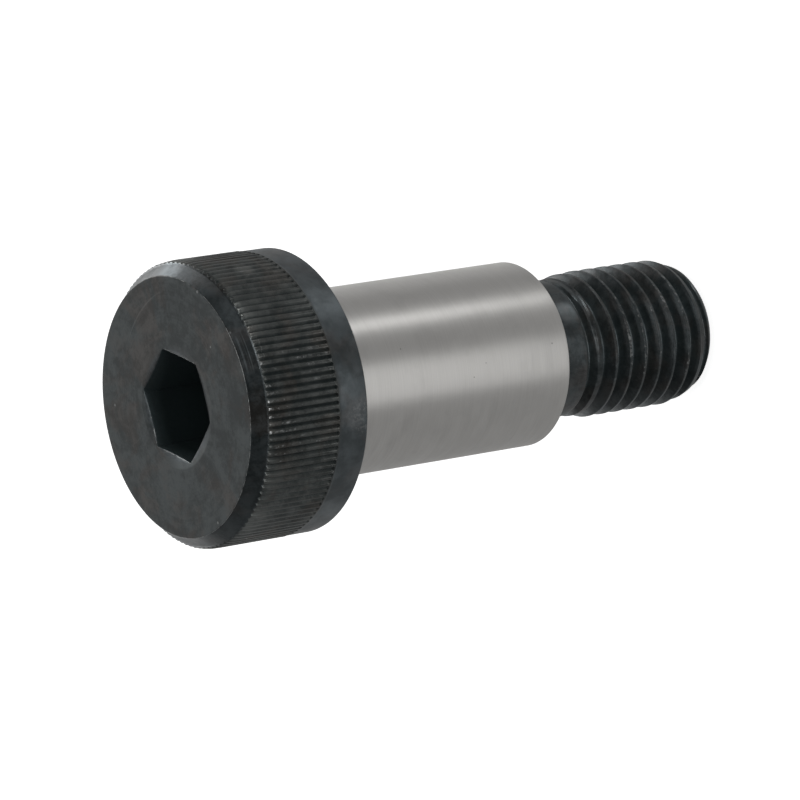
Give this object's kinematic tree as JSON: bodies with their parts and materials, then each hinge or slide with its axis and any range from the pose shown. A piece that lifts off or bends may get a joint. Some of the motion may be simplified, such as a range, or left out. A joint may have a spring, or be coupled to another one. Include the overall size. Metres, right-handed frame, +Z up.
{
  "type": "shoulder bolt",
  "caption": "Hexagon socket head shoulder bolt: knurled cylindrical head, ground cylindrical shoulder and a smaller threaded end, standing on the end of its thread.",
  "frame": {"origin": "the middle of the thread's end face, on the ground plane", "axes": "+Z up along the bolt's axis, from the thread's end to the head's outer face; +X through a corner of the hexagon"},
  "size_m": [0.0302, 0.0302, 0.0659],
  "materials": {
    "black_oxide_steel": "black oxide over turned, knurled and rolled steel; head, neck and thread",
    "ground_steel": "bare finely ground steel; the shoulder's running surface only, as a second finish on the same piece"
  },
  "bodies": {
    "root": {"shoulder_bolt": "black_oxide_steel"}
  },
  "joints": []
}
